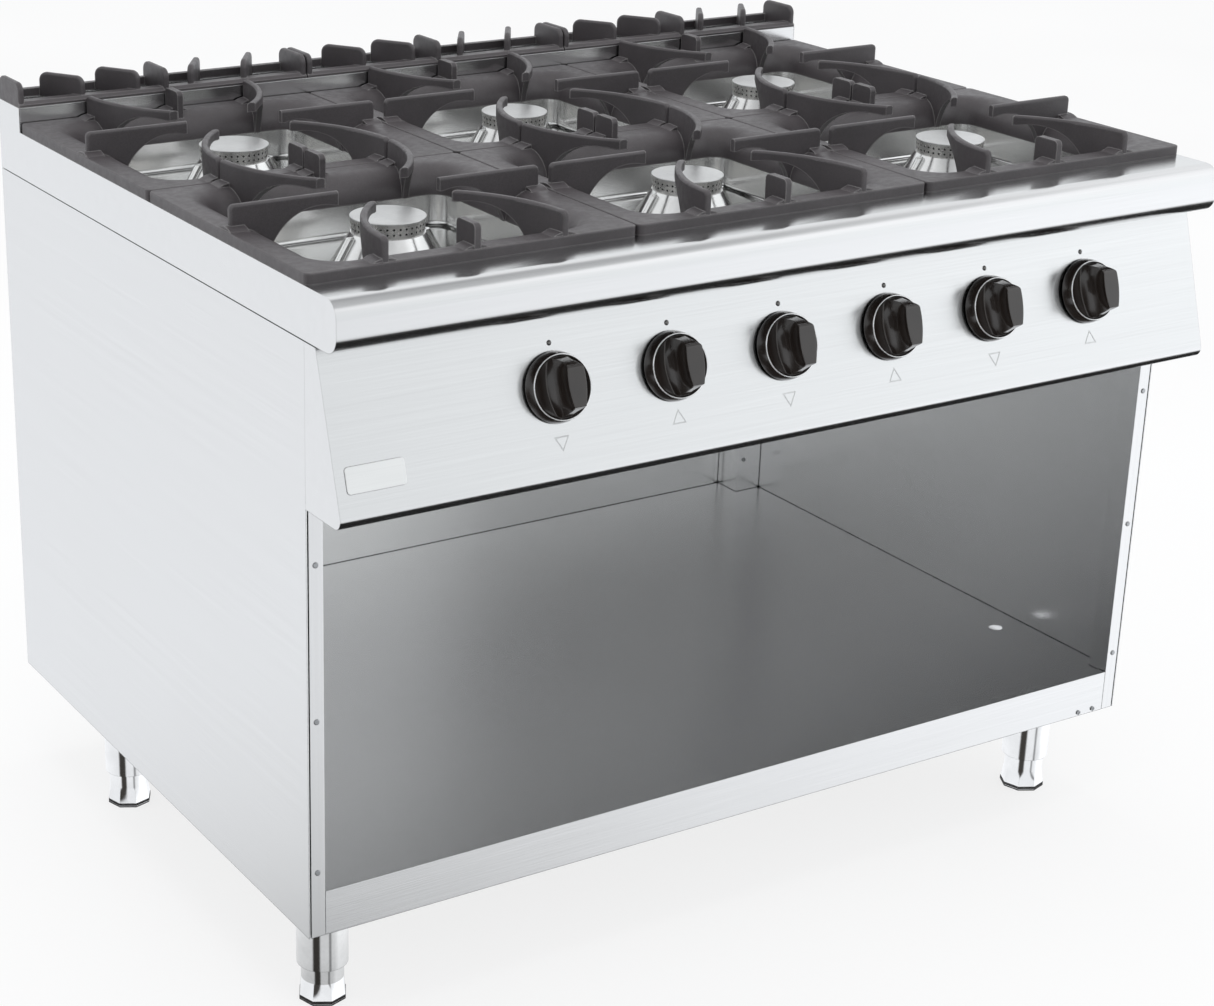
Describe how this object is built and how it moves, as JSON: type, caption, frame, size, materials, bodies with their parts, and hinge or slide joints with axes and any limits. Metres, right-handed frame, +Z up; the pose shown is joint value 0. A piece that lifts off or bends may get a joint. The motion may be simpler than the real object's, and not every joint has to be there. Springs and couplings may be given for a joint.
{
  "type": "commercial gas range",
  "caption": "Free-standing commercial gas range: lift-off cast grates over open burners, sloping control panel with push-and-turn knobs, rear flue, open cabinet on tube legs.",
  "frame": {"origin": "on the floor under the middle of the whole range, knob grips included, which is 13 mm in front of the middle of its 1200 by 900 mm footprint", "axes": "+X to the right of a cook facing the range (its width), -Y out of the control panel towards the cook, +Z up"},
  "size_m": [1.2, 0.923, 0.943],
  "materials": {
    "satin_stainless": "satin, fine brushed grain",
    "well_stainless": "bright pressed stainless",
    "polished_steel": "polished",
    "burner_nickel": "bead-blasted satin",
    "enamelled_cast_iron": "matt enamel over cast iron",
    "knob_black": "glossy moulded phenolic",
    "brass": "machined",
    "zinc_plated_steel": "zinc plated",
    "spring_steel": "drawn wire"
  },
  "bodies": {
    "cabinet": {"side_panel_left": "satin_stainless", "side_panel_right": "satin_stainless", "front_posts": "satin_stainless", "rear_posts": "satin_stainless", "back_panel": "satin_stainless", "cabinet_floor": "satin_stainless", "plinth": "satin_stainless", "compartment_base": "satin_stainless", "control_panel": "satin_stainless", "badge_plate": "polished_steel", "hob_top": "satin_stainless", "flue_riser": "satin_stainless", "gas_valves": "brass", "valve_springs": "spring_steel", "gas_manifold": "zinc_plated_steel", "gas_pipe": "zinc_plated_steel", "burner_tubes": "zinc_plated_steel", "burner_bodies": "polished_steel", "flame_probes": "spring_steel", "burner_crowns": "burner_nickel", "legs": "polished_steel", "rivets": "polished_steel", "screws": "polished_steel", "burner_well_1": "well_stainless", "burner_well_2": "well_stainless", "burner_well_3": "well_stainless", "burner_well_4": "well_stainless", "burner_well_5": "well_stainless", "burner_well_6": "well_stainless"},
    "valve_stem_1": {"valve_stem_1": "brass"},
    "knob_1": {"knob_1": "knob_black"},
    "valve_stem_2": {"valve_stem_2": "brass"},
    "knob_2": {"knob_2": "knob_black"},
    "valve_stem_3": {"valve_stem_3": "brass"},
    "knob_3": {"knob_3": "knob_black"},
    "valve_stem_4": {"valve_stem_4": "brass"},
    "knob_4": {"knob_4": "knob_black"},
    "valve_stem_5": {"valve_stem_5": "brass"},
    "knob_5": {"knob_5": "knob_black"},
    "valve_stem_6": {"valve_stem_6": "brass"},
    "knob_6": {"knob_6": "knob_black"},
    "grate_1": {"grate_1": "enamelled_cast_iron"},
    "burner_cap_1": {"burner_cap_1": "burner_nickel"},
    "grate_2": {"grate_2": "enamelled_cast_iron"},
    "burner_cap_2": {"burner_cap_2": "burner_nickel"},
    "grate_3": {"grate_3": "enamelled_cast_iron"},
    "burner_cap_3": {"burner_cap_3": "burner_nickel"},
    "grate_4": {"grate_4": "enamelled_cast_iron"},
    "burner_cap_4": {"burner_cap_4": "burner_nickel"},
    "grate_5": {"grate_5": "enamelled_cast_iron"},
    "burner_cap_5": {"burner_cap_5": "burner_nickel"},
    "grate_6": {"grate_6": "enamelled_cast_iron"},
    "burner_cap_6": {"burner_cap_6": "burner_nickel"},
    "flue_grille_1": {"flue_grille_1": "enamelled_cast_iron"},
    "flue_grille_2": {"flue_grille_2": "enamelled_cast_iron"},
    "flue_grille_3": {"flue_grille_3": "enamelled_cast_iron"},
    "foot_1": {"foot_1": "polished_steel"},
    "foot_2": {"foot_2": "polished_steel"},
    "foot_3": {"foot_3": "polished_steel"},
    "foot_4": {"foot_4": "polished_steel"}
  },
  "joints": [
    {"name": "knob_1_push", "type": "slide", "parent": "cabinet", "child": "valve_stem_1", "axis": [0, 0.9563, -0.2925], "range_m": [0, 0.003], "stiffness_N_per_m": 1500, "springref_m": -0.002},
    {"name": "knob_1_turn", "type": "hinge", "parent": "valve_stem_1", "child": "knob_1", "pos_m": [-0.33, -0.4097, 0.74654], "axis": [0, -0.9563, 0.2925], "range_deg": [0, 210]},
    {"name": "knob_2_push", "type": "slide", "parent": "cabinet", "child": "valve_stem_2", "axis": [0, 0.9563, -0.2925], "range_m": [0, 0.003], "stiffness_N_per_m": 1500, "springref_m": -0.002},
    {"name": "knob_2_turn", "type": "hinge", "parent": "valve_stem_2", "child": "knob_2", "pos_m": [-0.18, -0.4097, 0.74654], "axis": [0, -0.9563, 0.2925], "range_deg": [0, 210]},
    {"name": "knob_3_push", "type": "slide", "parent": "cabinet", "child": "valve_stem_3", "axis": [0, 0.9563, -0.2925], "range_m": [0, 0.003], "stiffness_N_per_m": 1500, "springref_m": -0.002},
    {"name": "knob_3_turn", "type": "hinge", "parent": "valve_stem_3", "child": "knob_3", "pos_m": [-0.03, -0.4097, 0.74654], "axis": [0, -0.9563, 0.2925], "range_deg": [0, 210]},
    {"name": "knob_4_push", "type": "slide", "parent": "cabinet", "child": "valve_stem_4", "axis": [0, 0.9563, -0.2925], "range_m": [0, 0.003], "stiffness_N_per_m": 1500, "springref_m": -0.002},
    {"name": "knob_4_turn", "type": "hinge", "parent": "valve_stem_4", "child": "knob_4", "pos_m": [0.12, -0.4097, 0.74654], "axis": [0, -0.9563, 0.2925], "range_deg": [0, 210]},
    {"name": "knob_5_push", "type": "slide", "parent": "cabinet", "child": "valve_stem_5", "axis": [0, 0.9563, -0.2925], "range_m": [0, 0.003], "stiffness_N_per_m": 1500, "springref_m": -0.002},
    {"name": "knob_5_turn", "type": "hinge", "parent": "valve_stem_5", "child": "knob_5", "pos_m": [0.27, -0.4097, 0.74654], "axis": [0, -0.9563, 0.2925], "range_deg": [0, 210]},
    {"name": "knob_6_push", "type": "slide", "parent": "cabinet", "child": "valve_stem_6", "axis": [0, 0.9563, -0.2925], "range_m": [0, 0.003], "stiffness_N_per_m": 1500, "springref_m": -0.002},
    {"name": "knob_6_turn", "type": "hinge", "parent": "valve_stem_6", "child": "knob_6", "pos_m": [0.42, -0.4097, 0.74654], "axis": [0, -0.9563, 0.2925], "range_deg": [0, 210]},
    {"name": "grate_1_lift", "type": "slide", "parent": "cabinet", "child": "grate_1", "axis": [0, 0, 1], "range_m": [0, 0.15]},
    {"name": "burner_cap_1_lift", "type": "slide", "parent": "cabinet", "child": "burner_cap_1", "axis": [0, 0, 1], "range_m": [0, 0.1]},
    {"name": "grate_2_lift", "type": "slide", "parent": "cabinet", "child": "grate_2", "axis": [0, 0, 1], "range_m": [0, 0.15]},
    {"name": "burner_cap_2_lift", "type": "slide", "parent": "cabinet", "child": "burner_cap_2", "axis": [0, 0, 1], "range_m": [0, 0.1]},
    {"name": "grate_3_lift", "type": "slide", "parent": "cabinet", "child": "grate_3", "axis": [0, 0, 1], "range_m": [0, 0.15]},
    {"name": "burner_cap_3_lift", "type": "slide", "parent": "cabinet", "child": "burner_cap_3", "axis": [0, 0, 1], "range_m": [0, 0.1]},
    {"name": "grate_4_lift", "type": "slide", "parent": "cabinet", "child": "grate_4", "axis": [0, 0, 1], "range_m": [0, 0.15]},
    {"name": "burner_cap_4_lift", "type": "slide", "parent": "cabinet", "child": "burner_cap_4", "axis": [0, 0, 1], "range_m": [0, 0.1]},
    {"name": "grate_5_lift", "type": "slide", "parent": "cabinet", "child": "grate_5", "axis": [0, 0, 1], "range_m": [0, 0.15]},
    {"name": "burner_cap_5_lift", "type": "slide", "parent": "cabinet", "child": "burner_cap_5", "axis": [0, 0, 1], "range_m": [0, 0.1]},
    {"name": "grate_6_lift", "type": "slide", "parent": "cabinet", "child": "grate_6", "axis": [0, 0, 1], "range_m": [0, 0.15]},
    {"name": "burner_cap_6_lift", "type": "slide", "parent": "cabinet", "child": "burner_cap_6", "axis": [0, 0, 1], "range_m": [0, 0.1]},
    {"name": "flue_grille_1_lift", "type": "slide", "parent": "cabinet", "child": "flue_grille_1", "axis": [0, 0, 1], "range_m": [0, 0.1]},
    {"name": "flue_grille_2_lift", "type": "slide", "parent": "cabinet", "child": "flue_grille_2", "axis": [0, 0, 1], "range_m": [0, 0.1]},
    {"name": "flue_grille_3_lift", "type": "slide", "parent": "cabinet", "child": "flue_grille_3", "axis": [0, 0, 1], "range_m": [0, 0.1]},
    {"name": "foot_1_level", "type": "slide", "parent": "cabinet", "child": "foot_1", "axis": [0, 0, -1], "range_m": [-0.01, 0.025]},
    {"name": "foot_2_level", "type": "slide", "parent": "cabinet", "child": "foot_2", "axis": [0, 0, -1], "range_m": [-0.01, 0.025]},
    {"name": "foot_3_level", "type": "slide", "parent": "cabinet", "child": "foot_3", "axis": [0, 0, -1], "range_m": [-0.01, 0.025]},
    {"name": "foot_4_level", "type": "slide", "parent": "cabinet", "child": "foot_4", "axis": [0, 0, -1], "range_m": [-0.01, 0.025]}
  ]
}
